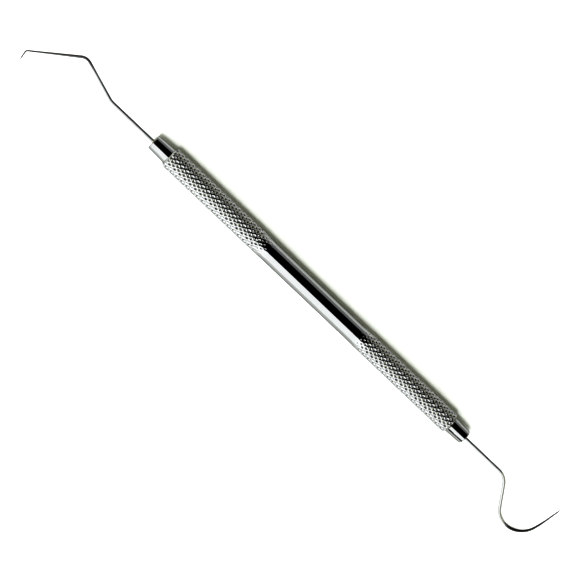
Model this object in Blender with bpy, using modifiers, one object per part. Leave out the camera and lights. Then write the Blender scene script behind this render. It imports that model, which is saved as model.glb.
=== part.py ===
"""Double-ended dental explorer: a hollow knurled handle with a soldered working end in a ferrule at each end.

The handle runs along X, with the right-angled explorer towards -X and the shepherd's hook towards +X. The
instrument lies on Z = 0 as it lies on a tray, on its handle and on the bowl of the hook, so the plane that both
working ends are bent in is rolled a little about the handle's axis. The origin is under the middle of the box
that holds the whole instrument.
"""

import math

import bpy

MM = 0.001

# Handle tube: two knurled grips with a polished stretch between them. Knurling raises the surface, and near the
# middle of the handle the knurl runs out, so each grip narrows there to the polished stretch.
GRIP_LENGTH = 33.0 * MM
GRIP_RUNOUT = 7.0 * MM
POLISHED_LENGTH = 31.2 * MM
GRIP_DIAMETER = 5.65 * MM
POLISHED_DIAMETER = 5.4 * MM
MOUTH_DIAMETER = 4.6 * MM
TUBE_BORE = 3.5 * MM
MOUTH_CHAMFER = 0.45 * MM

# Ferrules: a tapered collar outside the tube and a spigot inside it, bored through for the shank.
COLLAR_LENGTH = 5.1 * MM
COLLAR_DIAMETER_AT_GRIP = 4.35 * MM
COLLAR_DIAMETER_AT_END = 3.95 * MM
COLLAR_CHAMFER = 0.2 * MM
SPIGOT_LENGTH = 10.0 * MM
SPIGOT_CHAMFER = 0.3 * MM

# Solder fillets at the roots of the shanks.
FILLET_LENGTH = 0.5 * MM
FILLET_DIAMETER_AT_COLLAR = 1.6 * MM
FILLET_DIAMETER_AT_SHANK = 1.1 * MM

# Working ends. A wire is a chain of straights and bends that starts at the collar's end: the length of the
# straight, then the bend's radius along the wire's middle and its angle, which is positive towards +Y.
SHANK_DIAMETER = 0.85 * MM
TANG_LENGTH = 8.0 * MM
POINT_DIAMETER = 0.08 * MM
EXPLORER_BENDS = (
    (13.0 * MM, 5.4 * MM, 18.5),
    (9.5 * MM, 2.55 * MM, -57.0),
    (12.85 * MM, 0.7 * MM, -59.0),
    (2.4 * MM, 0.0, 0.0),
)
HOOK_BENDS = (
    (12.6 * MM, 4.8 * MM, -52.5),
    (6.45 * MM, 5.85 * MM, 130.0),
    (0.0, 30.0 * MM, 7.5),
    (4.25 * MM, 0.0, 0.0),
)
# Each wire's diameter, as shares of the shank's, at shares of its length outside the collar.
EXPLORER_TAPER = ((0.0, 1.0), (0.35, 0.94), (0.64, 0.76), (0.92, 0.38), (0.98, 0.3), (1.0, 0.0))
HOOK_TAPER = ((0.0, 1.0), (0.6, 0.96), (0.7, 0.92), (0.96, 0.36), (0.99, 0.24), (1.0, 0.0))

# Clearances: this is a thin instrument, so what is pressed or soldered together stays this far apart.
FIT_GAP = 0.1 * MM
SOLDER_GAP = 0.05 * MM

# Facets round a turned piece, and the longest stretch of a bend that is left straight.
TURNED_FACETS = 32
BEND_STEP = math.radians(8)
STRAIGHT_PIECES = 4

TUBE_LENGTH = 2 * GRIP_LENGTH + POLISHED_LENGTH
COLLAR_END = TUBE_LENGTH / 2 + COLLAR_LENGTH
GRIP_FLAT_RADIUS = GRIP_DIAMETER / 2 * math.cos(math.pi / TURNED_FACETS)


def clear_scene():
    for thing in list(bpy.data.objects):
        bpy.data.objects.remove(thing)


def steel(name, colour, roughness):
    material = bpy.data.materials.new(name)
    material.use_nodes = True
    shader = material.node_tree.nodes["Principled BSDF"]
    shader.inputs["Base Color"].default_value = (*colour, 1.0)
    shader.inputs["Roughness"].default_value = roughness
    shader.inputs["Metallic"].default_value = 1.0
    return material


def add_to(collection, name, data, material, parent):
    thing = bpy.data.objects.new(name, data)
    data.materials.append(material)
    thing.parent = parent
    collection.objects.link(thing)
    return thing


def turned(collection, name, outline, material, parent, way=1):
    """A piece turned about X from a closed outline of (radius, distance along the axis) points.

    The outline starts at the far end, runs down the outer side and comes back along the bore. With way = -1
    the piece points towards -X instead.
    """
    mesh = bpy.data.meshes.new(name)
    ring = [(radius, 0.0, along) for radius, along in outline]
    edges = [(i, (i + 1) % len(ring)) for i in range(len(ring))]
    mesh.from_pydata(ring, edges, [])
    thing = add_to(collection, name, mesh, material, parent)
    screw = thing.modifiers.new("turn", "SCREW")
    screw.axis = "Z"
    screw.angle = 2 * math.pi
    screw.steps = TURNED_FACETS
    screw.render_steps = TURNED_FACETS
    screw.use_merge_vertices = True
    screw.merge_threshold = 0.00001
    screw.use_smooth_shade = True
    # The outline's own plane holds an edge between two facets: half a facet's turn puts a flat underneath.
    thing.rotation_mode = "ZYX"
    thing.rotation_euler = (0.0, way * math.pi / 2, math.pi / TURNED_FACETS)
    return thing


def tube_outline():
    half = TUBE_LENGTH / 2
    polished = POLISHED_LENGTH / 2
    grip, plain = GRIP_DIAMETER / 2, POLISHED_DIAMETER / 2
    upper = [
        (MOUTH_DIAMETER / 2, half),
        (grip, half - MOUTH_CHAMFER),
        (grip, polished + GRIP_RUNOUT),
        (plain, polished),
    ]
    lower = [(radius, -along) for radius, along in reversed(upper)]
    return upper + lower + [(TUBE_BORE / 2, -half), (TUBE_BORE / 2, half)]


def ferrule_outline():
    shoulder = TUBE_LENGTH / 2 + FIT_GAP
    spigot_end = TUBE_LENGTH / 2 - SPIGOT_LENGTH
    spigot = TUBE_BORE / 2 - FIT_GAP
    end = COLLAR_DIAMETER_AT_END / 2
    bore = SHANK_DIAMETER / 2 + FIT_GAP
    return [
        (end - COLLAR_CHAMFER, COLLAR_END),
        (end, COLLAR_END - COLLAR_CHAMFER),
        (COLLAR_DIAMETER_AT_GRIP / 2, shoulder),
        (spigot, shoulder),
        (spigot, spigot_end + SPIGOT_CHAMFER),
        (spigot - SPIGOT_CHAMFER, spigot_end),
        (bore, spigot_end),
        (bore, COLLAR_END),
    ]


def fillet_outline():
    """A solder fillet: its outside is hollow, as solder creeps up the shank."""
    low = COLLAR_END + SOLDER_GAP
    at_collar, at_shank = FILLET_DIAMETER_AT_COLLAR / 2, FILLET_DIAMETER_AT_SHANK / 2
    bore = SHANK_DIAMETER / 2 + SOLDER_GAP
    middle = at_shank + 0.3 * (at_collar - at_shank)
    return [
        (at_shank, low + FILLET_LENGTH),
        (middle, low + 0.4 * FILLET_LENGTH),
        (at_collar, low),
        (bore, low),
        (bore, low + FILLET_LENGTH),
    ]


def wire_route(bends):
    """The middle line of a bent wire that leaves its collar along +X: (x, y) points in the plane of its bends."""
    x, y, heading = COLLAR_END, 0.0, 0.0
    points = [(x, y)]
    for straight, radius, angle in bends:
        for _ in range(STRAIGHT_PIECES if straight else 0):
            x += straight / STRAIGHT_PIECES * math.cos(heading)
            y += straight / STRAIGHT_PIECES * math.sin(heading)
            points.append((x, y))
        turn = math.radians(angle)
        steps = math.ceil(abs(turn) / BEND_STEP)
        for _ in range(steps):
            chord = 2 * radius * math.sin(abs(turn) / steps / 2)
            heading += turn / steps / 2
            x += chord * math.cos(heading)
            y += chord * math.sin(heading)
            heading += turn / steps / 2
            points.append((x, y))
    return points


def tapered_radii(route, taper):
    """The wire's radius at each point of its route."""
    run = [0.0]
    for before, after in zip(route, route[1:]):
        run.append(run[-1] + math.dist(before, after))
    radii = []
    for length in run:
        share = min(length / run[-1], 1.0)
        for (low, thick), (high, thin) in zip(taper, taper[1:]):
            if share <= high:
                size = thick + (thin - thick) * (share - low) / (high - low)
                break
        radii.append(max(size * SHANK_DIAMETER, POINT_DIAMETER) / 2)
    return radii


def wire(collection, name, route, radii, way, material, parent):
    """A bent, tapered wire with a straight tang inside its ferrule. With way = -1 it leaves towards -X."""
    curve = bpy.data.curves.new(name, "CURVE")
    curve.dimensions = "3D"
    curve.bevel_depth = SHANK_DIAMETER / 2
    curve.bevel_resolution = 3
    curve.use_fill_caps = True
    spline = curve.splines.new("POLY")
    tang = (COLLAR_END - TANG_LENGTH, 0.0)
    spline.points.add(len(route))
    for point, (x, y), radius in zip(spline.points, [tang, *route], [radii[0], *radii]):
        point.co = (way * x, y, 0.0, 1.0)
        point.radius = radius / curve.bevel_depth
    return add_to(collection, name, curve, material, parent)


def empty(collection, name, parent=None):
    thing = bpy.data.objects.new(name, None)
    thing.parent = parent
    collection.objects.link(thing)
    return thing


def resting_roll(routes):
    """How far the instrument rolls about its handle before a wire touches what it lies on."""
    rolls = []
    for route, radii in routes:
        for (_, y), radius in zip(route, radii):
            if -y > GRIP_FLAT_RADIUS:
                rolls.append(math.asin((GRIP_FLAT_RADIUS - radius) / -y))
    return min(rolls)


def box_middle(explorer, hook, roll):
    """Where the middle of the whole box lies, from the middle of the handle, along X and Y."""
    sides = [-GRIP_DIAMETER / 2, GRIP_DIAMETER / 2]
    for route, radii in (explorer, hook):
        for (_, y), radius in zip(route, radii):
            sides += [y * math.cos(roll) - radius, y * math.cos(roll) + radius]
    ends = [max(x + radius for (x, _), radius in zip(*side)) for side in (explorer, hook)]
    return (ends[1] - ends[0]) / 2, (min(sides) + max(sides)) / 2


def main():
    clear_scene()
    collection = bpy.data.collections.new("dental_explorer")
    bpy.context.scene.collection.children.link(collection)

    explorer_route = wire_route(EXPLORER_BENDS)
    hook_route = wire_route(HOOK_BENDS)
    explorer = explorer_route, tapered_radii(explorer_route, EXPLORER_TAPER)
    hook = hook_route, tapered_radii(hook_route, HOOK_TAPER)
    roll = resting_roll((explorer, hook))
    middle_x, middle_y = box_middle(explorer, hook, roll)

    handle = empty(collection, "handle_axis")
    handle.location = (-middle_x, -middle_y, GRIP_FLAT_RADIUS)
    bend_plane = empty(collection, "bend_plane", handle)
    bend_plane.rotation_euler = (roll, 0.0, 0.0)

    knurled = steel("knurled_steel", (0.6, 0.6, 0.59), 0.25)
    turned(collection, "handle_tube", tube_outline(), knurled, handle)
    polished = steel("polished_steel", (0.66, 0.66, 0.65), 0.12)
    spring = steel("spring_steel", (0.6, 0.6, 0.6), 0.16)
    solder = steel("silver_solder", (0.62, 0.6, 0.55), 0.3)
    for end, way, (route, radii) in (("explorer", -1, explorer), ("hook", 1, hook)):
        turned(collection, end + "_ferrule", ferrule_outline(), polished, handle, way)
        turned(collection, end + "_solder_fillet", fillet_outline(), solder, handle, way)
        wire(collection, end + "_working_end", route, radii, way, spring, bend_plane)


main()
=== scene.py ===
import math

import bmesh
import bpy
import numpy as np
from mathutils import Matrix, Vector


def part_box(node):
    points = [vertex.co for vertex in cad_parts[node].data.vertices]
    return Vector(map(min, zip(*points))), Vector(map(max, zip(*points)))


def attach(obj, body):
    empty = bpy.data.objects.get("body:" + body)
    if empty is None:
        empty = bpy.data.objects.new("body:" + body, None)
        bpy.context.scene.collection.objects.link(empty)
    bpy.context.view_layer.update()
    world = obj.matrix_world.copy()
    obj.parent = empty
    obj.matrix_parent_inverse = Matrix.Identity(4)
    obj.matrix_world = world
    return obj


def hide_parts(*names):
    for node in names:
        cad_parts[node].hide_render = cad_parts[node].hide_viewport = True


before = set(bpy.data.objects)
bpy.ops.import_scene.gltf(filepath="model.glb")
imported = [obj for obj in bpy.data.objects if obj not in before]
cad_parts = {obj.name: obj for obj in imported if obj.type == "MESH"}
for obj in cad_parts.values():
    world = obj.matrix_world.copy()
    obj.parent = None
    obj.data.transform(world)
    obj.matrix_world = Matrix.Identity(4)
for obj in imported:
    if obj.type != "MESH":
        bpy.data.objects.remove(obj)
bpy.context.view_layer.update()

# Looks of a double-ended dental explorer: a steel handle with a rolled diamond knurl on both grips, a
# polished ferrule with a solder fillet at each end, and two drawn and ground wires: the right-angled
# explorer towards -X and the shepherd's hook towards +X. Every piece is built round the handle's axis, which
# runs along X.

MM = 0.001

# Handle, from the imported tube.
TUBE_LOW, TUBE_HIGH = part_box("handle_tube")
HANDLE = (TUBE_LOW + TUBE_HIGH) / 2
TUBE_HALF = (TUBE_HIGH.x - TUBE_LOW.x) / 2
GRIP_RADIUS = (TUBE_HIGH.y - TUBE_LOW.y) / 2
REST_HEIGHT = HANDLE.z
GRIP_LENGTH = 33.0 * MM
POLISHED_RADIUS = 2.7 * MM
MOUTH_RADIUS = 2.3 * MM
BORE_RADIUS = 1.75 * MM
MOUTH_CHAMFER = 0.45 * MM

# Knurl: broad ridges that cross in two spirals, with a pressed pit in each diamond. The pits get smaller
# towards the polished middle, and are drawn out along one spiral there, much more at the explorer's end.
# Cell lines are where the mesh is cut across each diamond.
DIAMONDS_AROUND = 15
DIAMOND_LENGTH = 1.72 * MM
DIAMOND_WIDTH = 2 * math.pi * GRIP_RADIUS / DIAMONDS_AROUND
RIDGE_SPACING = DIAMOND_LENGTH * DIAMOND_WIDTH / math.hypot(DIAMOND_LENGTH, DIAMOND_WIDTH)
PIT_DEPTH = 0.285 * MM
PIT_SLOPE = 0.8
PIT_FLOOR = 0.95
RIDGE_CROWN = 0.02 * MM
PIT_STRETCH = 0.2
RUNOUT_LENGTH = {"explorer": 8.0 * MM, "hook": 7.0 * MM}
RUNOUT_STRETCH = {"explorer": 2.2, "hook": 0.3}
KNURL_OVERRUN = 2.5 * MM
KNURL_START = TUBE_HALF - GRIP_LENGTH - KNURL_OVERRUN
CELL_LINES = (0.0, 0.08, 0.17, 0.3, 0.44, 0.56, 0.7, 0.83, 0.92, 1.0)

# Rings of the polished stretch, this far in from the knurl's first ring, that keep its shading straight.
NEAR_RING, FAR_RING = 0.2 * MM, 0.6 * MM

# Working ends: the same bends as the CAD wires. Each is the length of a straight, then a bend's radius and
# angle. A taper is the diameter as shares of the shank's, at shares of the length outside the collar.
# Beyond a distance from the handle's middle the steel is darker, and near the points it is darkest.
COLLAR_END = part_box("hook_ferrule")[1].x - HANDLE.x
SHANK_RADIUS = 0.425 * MM
STRAIGHT_STEP = 0.4 * MM
BEND_STEP = math.radians(3)
POINT_RADIUS = 0.04 * MM
DARKER_FROM = {"explorer": 76.0 * MM, "hook": 78.5 * MM}
DARKENED_SHARE = {"explorer": 0.78, "hook": 1.0}
DARKENING_FADE = 3.0 * MM
DARKENING_WANDER = 2.0 * MM
DARKEST_FROM, DARKEST_AT = 87.5 * MM, 89.0 * MM
TANG_LENGTH = 8.0 * MM
EXPLORER_BENDS = (
    (13.0 * MM, 5.4 * MM, 18.5),
    (9.5 * MM, 2.55 * MM, -57.0),
    (12.85 * MM, 0.7 * MM, -59.0),
    (2.4 * MM, 0.0, 0.0),
)
HOOK_BENDS = (
    (12.6 * MM, 4.8 * MM, -52.5),
    (6.45 * MM, 5.85 * MM, 130.0),
    (0.0, 30.0 * MM, 7.5),
    (4.25 * MM, 0.0, 0.0),
)
EXPLORER_TAPER = ((0.0, 1.0), (0.35, 0.94), (0.64, 0.76), (0.92, 0.38), (0.98, 0.3), (1.0, 0.0))
HOOK_TAPER = ((0.0, 1.0), (0.6, 0.96), (0.7, 0.92), (0.96, 0.36), (0.99, 0.24), (1.0, 0.0))

# Ferrules and fillets.
COLLAR_RADIUS_AT_GRIP = 2.175 * MM
COLLAR_RADIUS_AT_END = 1.975 * MM
COLLAR_BULGE = 0.04 * MM
WAIST_FROM_SHOULDER = 1.3 * MM
WAIST_NARROWING = 0.05 * MM
SPIGOT_LENGTH = 10.0 * MM
SHOULDER_GAP = 0.01 * MM
SPIGOT_GAP = 0.03 * MM
BORE_GAP = 0.02 * MM
FILLET_LENGTH = 0.35 * MM
FILLET_FLARE = 0.25 * MM
FILLET_SKIN = 0.01 * MM
FILLET_GAP = 0.005 * MM
FILLET_UNEVEN = 0.03
TURNED_SEGMENTS = 144
WIRE_SIDES = 28

# Steel: the share of light that it reflects, and how rough it is. The edge tint is for grazing angles.
STEEL = 0.42
TIP_STEEL = 0.07
RIDGE_STEEL = 0.48
WIRE_STEEL = {"explorer": 0.4, "hook": 0.45}
EDGE_TINT = 0.22
POLISH_ROUGH = 0.06
RIDGE_ROUGH = 0.12
PIT_ROUGH = 0.16
# Painted shade in the knurl's hollows: the pits' colour is mixed this share of the way towards a dark grey.
PIT_DARK = 0.05
PIT_PAINTED_SHADE = (STEEL * 0.3, STEEL * 0.3, STEEL * 0.29, 1)
PIT_RIM = 0.08 * MM
KNURL_FADE = (1.0 * MM, 5.0 * MM)
SOLDER_DULL, SOLDER_BRIGHT = (0.42, 0.4, 0.35, 1), (0.55, 0.53, 0.48, 1)

# Studio. A patch of light is a range of directions. X is the share of a direction that goes along X, and
# lean is its angle from the vertical towards -Y, in degrees, seen along the handle. An edge is a pair of
# values that the light fades between. The window's sill steps from low to high along X.
WINDOW_X = ((-0.98, -0.8), (0.8, 0.95))
WINDOW_LEAN = (18.8, 20.8)
WINDOW_STEP = 0.36
STEP_FADE = 0.02
WINDOW_LOW = 96.0
WINDOW_HIGH = 62.0
WINDOW_FADE = 5.0
WINDOW_LIGHT = 2.2
FILL_X = (0.47, 0.54)
FILL_LEAN = ((-75.0, -60.0), (-10.0, -4.0))
FILL_LIGHT = 1.2
WALL_X = ((-0.45, -0.1), (0.4, 0.6))
WALL_LEAN = (-64.0, -54.0)
WALL_LIGHT = 0.6
ROOM_X = (-0.5, -0.25)
ROOM_LIGHT = 0.42
DAYLIGHT = (0.98, 1.0, 1.01)
ROOM_TINT = (1.0, 1.06, 0.75)
KEY_X = -0.1
KEY_LEAN = 18.0
KEY_DISTANCE = 2.2
KEY_SIZE = (0.42, 0.45)
KEY_LIGHT = 58.0
FLOOR_HALF = 6.0
FLOOR_COLOUR = (0.93, 0.93, 0.92, 1)
CONTRAST = 0.6

# Camera: its place from the point on the floor under the handle's middle, its tilt about Y and turn about Z.
CAMERA_LENS = 99.1
CAMERA_CLIP = (0.01, 20)
CAMERA_PLACE = (-74.35 * MM, -3.0 * MM, 389.53 * MM)
CAMERA_TILT = -10.2
CAMERA_TURN = 43.48


def smooth(mesh, sharp_angle):
    mesh.shade_smooth()
    mesh.set_sharp_from_angle(angle=math.radians(sharp_angle))


def add_piece(name, mesh, material, node):
    """A piece with its origin in the handle's middle. It rides the CAD body and stands for a CAD node."""
    mesh.materials.append(material)
    piece = bpy.data.objects.new(name, mesh)
    bpy.context.scene.collection.objects.link(piece)
    piece.matrix_world = Matrix.Translation(HANDLE)
    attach(piece, "root")
    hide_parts(node)
    return piece


# ---- handle tube -------------------------------------------------------------------------------------


def eased(value):
    value = np.clip(value, 0.0, 1.0)
    return value * value * (3 - 2 * value)


def grip_radius(along, u, w, end):
    """The knurled surface's radius at a distance from the middle, given the lattice's two coordinates."""
    run = (along - KNURL_START) / RUNOUT_LENGTH[end]
    off_u, off_w = (np.abs(c - np.floor(c) - 0.5) * RIDGE_SPACING for c in (u, w))
    if end == "hook":
        off_u, off_w = off_w, off_u
    off = np.maximum(off_u / (1 + PIT_STRETCH + RUNOUT_STRETCH[end] * (1 - eased(run))), off_w)
    depth = np.clip(PIT_DEPTH * eased(run) - PIT_SLOPE * off, 0, PIT_DEPTH * PIT_FLOOR)
    crown = RIDGE_CROWN * eased(run) * (1 - 2 * off / RIDGE_SPACING)
    raised = POLISHED_RADIUS + (GRIP_RADIUS - POLISHED_RADIUS) * eased(run)
    chamfer = MOUTH_RADIUS + (GRIP_RADIUS - MOUTH_RADIUS) * (TUBE_HALF - along) / MOUTH_CHAMFER
    return np.minimum(raised - np.maximum(depth, crown), chamfer)


def add_grip(bm, end, way):
    """Adds one knurled grip, as an open sleeve of lattice cells that is cut square at both ends."""
    lines = len(CELL_LINES) - 1
    first = math.floor(2 * KNURL_START / DIAMOND_LENGTH) - 1
    last = math.ceil(2 * TUBE_HALF / DIAMOND_LENGTH) + 1
    vertices, faces = {}, []

    def vertex(a, b):
        key = (a + b, (a - b) % (2 * DIAMONDS_AROUND * lines))
        if key not in vertices:
            u = a // lines + CELL_LINES[a % lines]
            w = b // lines + CELL_LINES[b % lines]
            vertices[key] = (len(vertices), u, w)
        return vertices[key][0]

    for row in range(first, last):
        for turn in range(row % 2, 2 * DIAMONDS_AROUND, 2):
            i, j = (row + turn) // 2, (row - turn) // 2
            for r in range(lines):
                for s in range(lines):
                    a, b = i * lines + r, j * lines + s
                    quad = [vertex(a, b), vertex(a + 1, b), vertex(a + 1, b + 1), vertex(a, b + 1)]
                    if (r < lines / 2) != (s < lines / 2):
                        quad = quad[1:] + quad[:1]
                    faces.append(quad)
    u = np.array([v[1] for v in vertices.values()], float)
    w = np.array([v[2] for v in vertices.values()], float)
    along = DIAMOND_LENGTH * (u + w) / 2
    angle = math.pi * (u - w) / DIAMONDS_AROUND
    radius = grip_radius(along, u, w, end)
    places = np.stack([way * along, radius * np.cos(angle), radius * np.sin(angle)], 1)
    made = [bm.verts.new(place) for place in places]
    for quad in faces:
        bm.faces.new([made[i] for i in quad])
    for cut, outwards in ((KNURL_START, -1), (TUBE_HALF, 1)):
        bmesh.ops.bisect_plane(
            bm,
            geom=[*bm.verts, *bm.edges, *bm.faces],
            dist=1e-7,
            plane_co=(way * cut, 0, 0),
            plane_no=(way * outwards, 0, 0),
            clear_outer=True,
        )


def ring_at(bm, x):
    """The open edges' vertices at x, in order of their angle."""
    found = {v for e in bm.edges if e.is_boundary for v in e.verts if abs(v.co.x - x) < 2e-6}
    return sorted(found, key=lambda v: math.atan2(v.co.z, v.co.y))


def new_ring(bm, x, radius, segments):
    ring = []
    for i in range(segments):
        angle = -math.pi + 2 * math.pi * (i + 0.5) / segments
        ring.append(bm.verts.new((x, radius * math.cos(angle), radius * math.sin(angle))))
    return ring


def zip_rings(bm, one, other):
    """Fills the band between two rings that need not have the same number of vertices."""
    angles = [[math.atan2(v.co.z, v.co.y) for v in ring] for ring in (one, other)]
    i = j = 0
    while i < len(one) or j < len(other):
        next_one = angles[0][i + 1] if i + 1 < len(one) else angles[0][0] + 2 * math.pi
        next_other = angles[1][j + 1] if j + 1 < len(other) else angles[1][0] + 2 * math.pi
        here, there = one[i % len(one)], other[j % len(other)]
        if j == len(other) or (i < len(one) and next_one <= next_other):
            bm.faces.new((here, one[(i + 1) % len(one)], there))
            i += 1
        else:
            bm.faces.new((here, other[(j + 1) % len(other)], there))
            j += 1


def handle_mesh():
    bm = bmesh.new()
    plain, inner, bore = [], [], []
    for end, way in (("explorer", -1), ("hook", 1)):
        sleeve = bmesh.new()
        add_grip(sleeve, end, way)
        part = bpy.data.meshes.new("grip")
        sleeve.to_mesh(part)
        sleeve.free()
        bm.from_mesh(part)
        bpy.data.meshes.remove(part)
        for rings, inset in ((plain, NEAR_RING), (inner, FAR_RING)):
            rings.append(new_ring(bm, way * (KNURL_START - inset), POLISHED_RADIUS, TURNED_SEGMENTS))
        bore.append(new_ring(bm, way * TUBE_HALF, BORE_RADIUS, TURNED_SEGMENTS))
        zip_rings(bm, plain[-1], inner[-1])
        zip_rings(bm, ring_at(bm, way * KNURL_START), plain[-1])
        zip_rings(bm, ring_at(bm, way * TUBE_HALF), bore[-1])
    for rings in (inner, bore):
        zip_rings(bm, *rings)
    bmesh.ops.recalc_face_normals(bm, faces=bm.faces)
    mesh = bpy.data.meshes.new("handle_tube_knurled")
    bm.to_mesh(mesh)
    bm.free()
    smooth(mesh, 24)
    return mesh


# ---- turned pieces and wires -------------------------------------------------------------------------


def rounded(corners, steps=5):
    """An outline of (distance along, radius, rounding) corners, each rounded one made a curve of points."""
    points = []
    for i, (x, r, rounding) in enumerate(corners):
        here = Vector((x, r))
        if not rounding:
            points.append(here)
            continue
        before = Vector(corners[i - 1][:2]) - here
        after = Vector(corners[(i + 1) % len(corners)][:2]) - here
        for step in range(steps + 1):
            t = step / steps
            start, end = here + before.normalized() * rounding, here + after.normalized() * rounding
            points.append(start * (1 - t) ** 2 + here * 2 * t * (1 - t) + end * t * t)
    return [(p.x, p.y) for p in points]


def finely(outline, step=0.25 * MM):
    """The same closed outline with points added on its straights, so that they are shaded as straight."""
    points = []
    for (x, r), (next_x, next_r) in zip(outline, outline[1:] + outline[:1]):
        pieces = max(1, math.ceil(math.hypot(next_x - x, next_r - r) / step))
        points += [(x + (next_x - x) * i / pieces, r + (next_r - r) * i / pieces) for i in range(pieces)]
    return points


def turned_mesh(name, outline, way, uneven=0.0):
    """A closed outline turned about X, for a piece that points along +X or, with way = -1, along -X.

    Uneven makes it a little out of round, as hand work is."""
    bm = bmesh.new()
    rings = []
    for x, radius in finely(outline):
        ring = []
        for i in range(TURNED_SEGMENTS):
            angle = 2 * math.pi * i / TURNED_SEGMENTS
            size = radius * (1 + uneven * (math.sin(2 * angle + 0.7) + 0.6 * math.sin(3 * angle + 2.0)))
            ring.append(bm.verts.new((way * x, size * math.cos(angle), size * math.sin(angle))))
        rings.append(ring)
    for ring, following in zip(rings, rings[1:] + rings[:1]):
        for i in range(TURNED_SEGMENTS):
            k = (i + 1) % TURNED_SEGMENTS
            bm.faces.new((ring[i], ring[k], following[k], following[i]))
    bmesh.ops.recalc_face_normals(bm, faces=bm.faces)
    mesh = bpy.data.meshes.new(name)
    bm.to_mesh(mesh)
    bm.free()
    smooth(mesh, 35)
    return mesh


def ferrule_outline():
    shoulder = TUBE_HALF + SHOULDER_GAP
    spigot, spigot_end = BORE_RADIUS - SPIGOT_GAP, TUBE_HALF - SPIGOT_LENGTH
    bore = SHANK_RADIUS + BORE_GAP
    return rounded([
        (spigot_end, bore, 0),
        (COLLAR_END, bore, 0.05 * MM),
        (COLLAR_END, COLLAR_RADIUS_AT_END, 0.18 * MM),
        (shoulder + WAIST_FROM_SHOULDER, COLLAR_RADIUS_AT_GRIP - WAIST_NARROWING, 0.6 * MM),
        (shoulder + 0.1 * MM, COLLAR_RADIUS_AT_GRIP + COLLAR_BULGE, 0.06 * MM),
        (shoulder, COLLAR_RADIUS_AT_GRIP, 0),
        (shoulder, spigot, 0),
        (spigot_end, spigot, 0.2 * MM),
    ])


def fillet_outline():
    """Solder drawn up round the root of the wire, hollow outside and sunk a skin's depth into the wire."""
    low, bore = COLLAR_END + FILLET_GAP, SHANK_RADIUS - FILLET_SKIN
    steps = 10
    outline = [(low, bore)]
    for step in range(steps + 1):
        turn = math.pi / 2 * step / steps
        radius = SHANK_RADIUS + FILLET_SKIN + FILLET_FLARE * (1 - math.sin(turn))
        outline.append((low + FILLET_LENGTH * (1 - math.cos(turn)), radius))
    outline.append((low + FILLET_LENGTH, bore))
    return outline


def wire_route(bends):
    """The middle line of a wire that leaves its collar along +X: (x, y) points in its bends' plane."""
    x, y, heading = COLLAR_END, 0.0, 0.0
    points = [(x, y)]
    for straight, radius, angle in bends:
        pieces = math.ceil(straight / STRAIGHT_STEP)
        for _ in range(pieces):
            x += straight / pieces * math.cos(heading)
            y += straight / pieces * math.sin(heading)
            points.append((x, y))
        turn = math.radians(angle)
        steps = math.ceil(abs(turn) / BEND_STEP)
        for _ in range(steps):
            chord = 2 * radius * math.sin(abs(turn) / steps / 2)
            heading += turn / steps / 2
            x += chord * math.cos(heading)
            y += chord * math.sin(heading)
            heading += turn / steps / 2
            points.append((x, y))
    return points


def tapered_radii(route, taper):
    run = [0.0]
    for before, after in zip(route, route[1:]):
        run.append(run[-1] + math.dist(before, after))
    places, sizes = zip(*taper)
    shares = np.interp(np.array(run) / run[-1], places, sizes)
    return np.maximum(shares * SHANK_RADIUS, POINT_RADIUS)


def resting_roll(routes):
    """How far the instrument rolls about its handle before a wire touches what it lies on."""
    rolls = []
    for route, radii in routes:
        for (_, y), radius in zip(route, radii):
            if -y > REST_HEIGHT:
                rolls.append(math.asin((REST_HEIGHT - radius) / -y))
    return min(rolls)


def wire_mesh(name, route, radii, way):
    """A round wire swept along its route, with a straight tang in the ferrule and a rounded point."""
    bm = bmesh.new()
    route = [(COLLAR_END - TANG_LENGTH, 0.0), *route]
    radii = [radii[0], *radii]
    points = [Vector((x, y, 0)) for x, y in route]
    rings = []
    for i, (point, radius) in enumerate(zip(points, radii)):
        heading = (points[min(i + 1, len(points) - 1)] - points[max(i - 1, 0)]).normalized()
        side = Vector((-heading.y, heading.x, 0))
        ring = []
        for k in range(WIRE_SIDES):
            angle = 2 * math.pi * k / WIRE_SIDES
            place = point + side * radius * math.cos(angle) + Vector((0, 0, radius * math.sin(angle)))
            ring.append(bm.verts.new((way * place.x, place.y, place.z)))
        rings.append(ring)
    for ring, following in zip(rings, rings[1:]):
        for k in range(WIRE_SIDES):
            m = (k + 1) % WIRE_SIDES
            bm.faces.new((ring[k], ring[m], following[m], following[k]))
    bm.faces.new(rings[0])
    point = points[-1] + (points[-1] - points[-2]).normalized() * POINT_RADIUS * 0.8
    tip = bm.verts.new((way * point.x, point.y, point.z))
    for k in range(WIRE_SIDES):
        bm.faces.new((rings[-1][k], rings[-1][(k + 1) % WIRE_SIDES], tip))
    bmesh.ops.recalc_face_normals(bm, faces=bm.faces)
    mesh = bpy.data.meshes.new(name)
    bm.to_mesh(mesh)
    bm.free()
    smooth(mesh, 50)
    return mesh


# ---- materials ---------------------------------------------------------------------------------------


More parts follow.
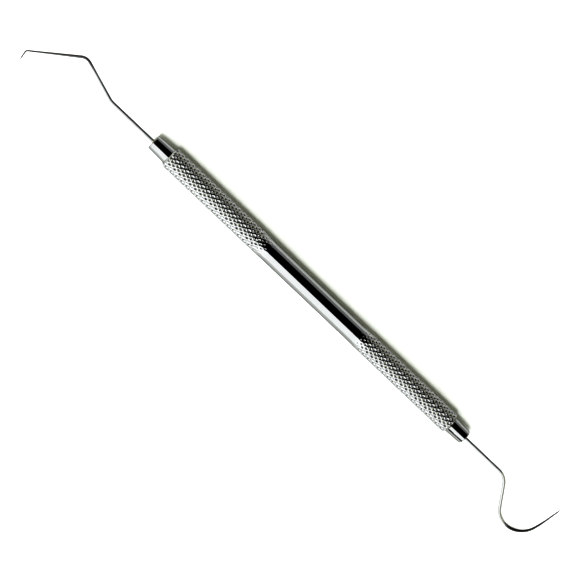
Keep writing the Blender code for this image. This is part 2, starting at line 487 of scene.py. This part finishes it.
class Nodes:
    """The node tree of a material or of the world, with one short call for each node."""

    def __init__(self, owner, shader="Principled BSDF", place="Object"):
        self.owner = owner
        owner.use_nodes = True
        self.tree = owner.node_tree
        self.shader = self.tree.nodes[shader]
        self.place = self.add("ShaderNodeTexCoord").outputs[place]

    def add(self, kind, values=(), **settings):
        node = self.tree.nodes.new(kind)
        for name, value in settings.items():
            setattr(node, name, value)
        for socket, value in dict(values).items():
            self.set(node.inputs[socket], value)
        return node

    def set(self, socket, value):
        if isinstance(value, bpy.types.NodeSocket):
            self.tree.links.new(value, socket)
        else:
            socket.default_value = value

    def math(self, operation, one, other=0.0):
        return self.add("ShaderNodeMath", {0: one, 1: other}, operation=operation).outputs[0]

    def scaled(self, x, y, z):
        return self.add("ShaderNodeMapping", {"Vector": self.place, "Scale": (x, y, z)}).outputs["Vector"]

    def noise(self, vector, scale, detail=4.0):
        values = {"Vector": vector, "Scale": scale, "Detail": detail, "Roughness": 0.6}
        return self.add("ShaderNodeTexNoise", values).outputs["Fac"]

    def ranged(self, value, low, high, to_low=0.0, to_high=1.0):
        values = {0: value, 1: low, 2: high, 3: to_low, 4: to_high}
        return self.add("ShaderNodeMapRange", values, interpolation_type="SMOOTHSTEP").outputs[0]

    def rising(self, value, edge):
        """0 below an edge and 1 above it, with a soft change between the edge's two values."""
        return self.ranged(value, *edge)

    def falling(self, value, edge):
        return self.ranged(value, *edge, 1.0, 0.0)

    def product(self, *values):
        total = values[0]
        for value in values[1:]:
            total = self.math("MULTIPLY", total, value)
        return total

    def mixed(self, factor, one, other):
        node = self.add("ShaderNodeMix", data_type="RGBA")
        for index, value in ((0, factor), (6, one), (7, other)):
            self.set(node.inputs[index], value)
        return node.outputs[2]

    def clouded(self, cloud, grey):
        """Steel of a grey that varies a little, and is a little warmer where it is lighter."""
        return self.mixed(cloud, (*[grey * 0.94] * 3, 1), (grey * 1.06, grey * 1.06, grey * 1.05, 1))

    def parts(self):
        """The place's X, Y and Z."""
        return self.add("ShaderNodeSeparateXYZ", {0: self.place}).outputs

    def along(self):
        """The distance from the handle's middle, along X."""
        return self.math("ABSOLUTE", self.parts()[0])

    def radius(self):
        """The distance from the handle's axis."""
        parts = self.parts()
        squares = [self.math("MULTIPLY", part, part) for part in (parts[1], parts[2])]
        return self.math("SQRT", self.math("ADD", *squares))

    def bump(self, height, depth, strength=1.0, normal=None):
        values = {"Height": height, "Distance": depth, "Strength": strength}
        if normal:
            values["Normal"] = normal
        return self.add("ShaderNodeBump", values).outputs["Normal"]

    def finish(self, colour, roughness, normal=None):
        self.set(self.shader.inputs["Base Color"], colour)
        self.set(self.shader.inputs["Roughness"], roughness)
        self.set(self.shader.inputs["Metallic"], 1.0)
        if normal:
            self.set(self.shader.inputs["Normal"], normal)
        self.set(self.shader.inputs["Specular Tint"], (EDGE_TINT, EDGE_TINT, EDGE_TINT, 1))
        return self.owner


def knurled_steel():
    """Polished between the grips, with fine turning lines, and duller down in the knurl, whose pits are
    darkened a little with painted shade.
    """
    n = Nodes(bpy.data.materials.new("knurled_steel"))
    along = n.along()
    knurled = n.ranged(along, KNURL_START + KNURL_FADE[0], KNURL_START + KNURL_FADE[1])
    in_pit = n.product(n.falling(n.radius(), (GRIP_RADIUS - PIT_DEPTH, GRIP_RADIUS - PIT_RIM)), knurled)
    cloud = n.noise(n.place, 260.0)
    grain = n.noise(n.place, 9000.0, 2.0)
    turning = n.noise(n.scaled(1.0, 0.02, 0.02), 16000.0, 3.0)
    unshaded = n.mixed(knurled, n.clouded(cloud, STEEL), n.clouded(cloud, RIDGE_STEEL))
    # Painted shade in the pits: their colour is mixed a little towards a dark grey.
    colour = n.mixed(n.math("MULTIPLY", in_pit, PIT_DARK), unshaded, PIT_PAINTED_SHADE)
    smudge = n.ranged(cloud, 0.35, 0.7, 0.04, 0.08)
    dull = n.math("ADD", RIDGE_ROUGH - POLISH_ROUGH, n.math("MULTIPLY", in_pit, PIT_ROUGH - RIDGE_ROUGH))
    roughness = n.math("ADD", smudge, n.math("MULTIPLY", knurled, dull))
    fine = n.bump(turning, 0.0003 * MM, 0.5)
    return n.finish(colour, roughness, n.bump(grain, 0.002 * MM, knurled, fine))


def polished_steel():
    n = Nodes(bpy.data.materials.new("polished_steel"))
    cloud = n.noise(n.place, 400.0)
    turning = n.noise(n.scaled(1.0, 0.02, 0.02), 14000.0, 3.0)
    colour = n.clouded(cloud, STEEL)
    roughness = n.ranged(cloud, 0.3, 0.7, 0.04, 0.08)
    return n.finish(colour, roughness, n.bump(turning, 0.0003 * MM, 0.5))


def spring_steel(end):
    """Drawn wire, ground, and darker towards the point."""
    n = Nodes(bpy.data.materials.new(end + "_spring_steel"))
    cloud = n.noise(n.place, 500.0)
    drawn = n.noise(n.scaled(0.05, 1.0, 1.0), 20000.0, 3.0)
    along = n.along()
    start = DARKER_FROM[end]
    wandering = n.math("ADD", along, n.product(cloud, DARKENING_WANDER))
    darkened = n.product(
        n.ranged(wandering, start, start + DARKENING_FADE),
        n.ranged(along, DARKEST_FROM, DARKEST_AT, DARKENED_SHARE[end], 1.0),
    )
    colour = n.mixed(darkened, n.clouded(cloud, WIRE_STEEL[end]), (TIP_STEEL, TIP_STEEL, TIP_STEEL, 1))
    roughness = n.ranged(cloud, 0.3, 0.7, 0.05, 0.09)
    return n.finish(colour, roughness, n.bump(drawn, 0.0002 * MM, 0.5))


def silver_solder():
    n = Nodes(bpy.data.materials.new("silver_solder"))
    cloud = n.noise(n.place, 2500.0)
    colour = n.mixed(cloud, SOLDER_DULL, SOLDER_BRIGHT)
    roughness = n.ranged(cloud, 0.3, 0.7, 0.22, 0.4)
    return n.finish(colour, roughness, n.bump(cloud, 0.02 * MM, 0.6))


# ---- studio ------------------------------------------------------------------------------------------


def softbox(name, share, lean, distance, width, height, radiance):
    """A soft panel that faces the instrument and is level along X, and that the steel doesn't mirror.

    Share and lean give its direction, as for a patch of the world's light."""
    light = bpy.data.lights.new(name, "AREA")
    light.shape = "RECTANGLE"
    light.size, light.size_y = width, height
    light.energy = radiance * math.pi * width * height
    light.color = DAYLIGHT
    lamp = bpy.data.objects.new(name, light)
    bpy.context.scene.collection.objects.link(lamp)
    across = math.sqrt(1 - share * share)
    angle = math.radians(lean)
    towards = Vector((share, -across * math.sin(angle), across * math.cos(angle)))
    level = (Vector((1, 0, 0)) - towards * share).normalized()
    frame_axes = Matrix((level, towards.cross(level), towards)).transposed()
    lamp.matrix_world = Matrix.Translation(towards * distance) @ frame_axes.to_4x4()
    lamp.visible_camera = False
    lamp.visible_glossy = False
    return lamp


def make_world():
    """A dark studio with a big window on the -Y side, a fill panel on the +Y side towards +X, a pale wall
    low on the +Y side, and a dim room towards -X. The fill and the room are tinted outside the window."""
    world = bpy.data.worlds.new("studio")
    bpy.context.scene.world = world
    n = Nodes(world, "Background", "Generated")
    x, y, z = n.parts()
    lean = n.math("DEGREES", n.math("ARCTAN2", n.math("MULTIPLY", y, -1.0), z))
    sill = n.ranged(x, WINDOW_STEP - STEP_FADE, WINDOW_STEP + STEP_FADE, WINDOW_LOW, WINDOW_HIGH)
    window = n.product(
        n.rising(lean, WINDOW_LEAN),
        n.falling(n.math("SUBTRACT", lean, sill), (0.0, WINDOW_FADE)),
        n.rising(x, WINDOW_X[0]),
        n.falling(x, WINDOW_X[1]),
    )
    fill = n.product(n.rising(x, FILL_X), n.falling(lean, FILL_LEAN[1]), n.rising(lean, FILL_LEAN[0]))
    wall = n.product(n.falling(lean, WALL_LEAN), n.rising(x, WALL_X[0]), n.falling(x, WALL_X[1]))
    room = n.falling(x, ROOM_X)
    light = n.product(window, WINDOW_LIGHT)
    for patch, radiance in ((fill, FILL_LIGHT), (wall, WALL_LIGHT), (room, ROOM_LIGHT)):
        light = n.math("ADD", light, n.product(patch, radiance))
    n.set(n.shader.inputs["Strength"], light)
    tinted = n.math("MULTIPLY", n.math("MAXIMUM", fill, room), n.math("SUBTRACT", 1.0, window))
    n.set(n.shader.inputs["Color"], n.mixed(tinted, (*DAYLIGHT, 1), (*ROOM_TINT, 1)))


def make_floor():
    mesh = bpy.data.meshes.new("floor")
    corners = [(x * FLOOR_HALF, y * FLOOR_HALF, 0) for x, y in ((-1, -1), (1, -1), (1, 1), (-1, 1))]
    mesh.from_pydata(corners, [], [(0, 1, 2, 3)])
    floor = bpy.data.objects.new("floor", mesh)
    bpy.context.scene.collection.objects.link(floor)
    n = Nodes(bpy.data.materials.new("pale_floor"))
    n.set(n.shader.inputs["Base Color"], FLOOR_COLOUR)
    n.set(n.shader.inputs["Roughness"], 0.9)
    n.set(n.shader.inputs["Specular IOR Level"], 0.1)
    mesh.materials.append(n.owner)


def make_camera():
    """The camera looks down on the instrument, from off to the explorer's side."""
    camera = bpy.data.cameras.new("camera")
    camera.lens = CAMERA_LENS
    camera.clip_start, camera.clip_end = CAMERA_CLIP
    holder = bpy.data.objects.new("camera", camera)
    bpy.context.scene.collection.objects.link(holder)
    place = Vector(CAMERA_PLACE) + Vector((HANDLE.x, HANDLE.y, 0))
    tilt = Matrix.Rotation(math.radians(CAMERA_TILT), 4, "Y")
    turn = Matrix.Rotation(math.radians(CAMERA_TURN), 4, "Z")
    holder.matrix_world = Matrix.Translation(place) @ tilt @ turn
    bpy.context.scene.camera = holder


def make_studio():
    make_camera()
    make_floor()
    make_world()
    softbox("key", KEY_X, KEY_LEAN, KEY_DISTANCE, *KEY_SIZE, KEY_LIGHT)
    bpy.context.scene.view_settings.view_transform = "Standard"
    bpy.context.scene.view_settings.gamma = CONTRAST


# ---- the instrument ----------------------------------------------------------------------------------


def main():
    add_piece("handle", handle_mesh(), knurled_steel(), "handle_tube")
    ferrule_steel, solder = polished_steel(), silver_solder()
    explorer, hook = wire_route(EXPLORER_BENDS), wire_route(HOOK_BENDS)
    wires = {
        "explorer": (explorer, tapered_radii(explorer, EXPLORER_TAPER)),
        "hook": (hook, tapered_radii(hook, HOOK_TAPER)),
    }
    roll = resting_roll(wires.values())
    for end, way in (("explorer", -1), ("hook", 1)):
        ferrule = turned_mesh(end + "_ferrule", ferrule_outline(), way)
        add_piece(end + "_collar", ferrule, ferrule_steel, end + "_ferrule")
        fillet = turned_mesh(end + "_fillet", fillet_outline(), way, FILLET_UNEVEN)
        add_piece(end + "_solder", fillet, solder, end + "_solder_fillet")
        wire = wire_mesh(end + "_wire", *wires[end], way)
        wire.transform(Matrix.Rotation(roll, 4, "X"))
        tip = add_piece(end + "_tip", wire, spring_steel(end), end + "_working_end")
        # A departure from real light: the wires cast no shadow, so the floor round them stays clean.
        tip.visible_shadow = False
    make_studio()


main()
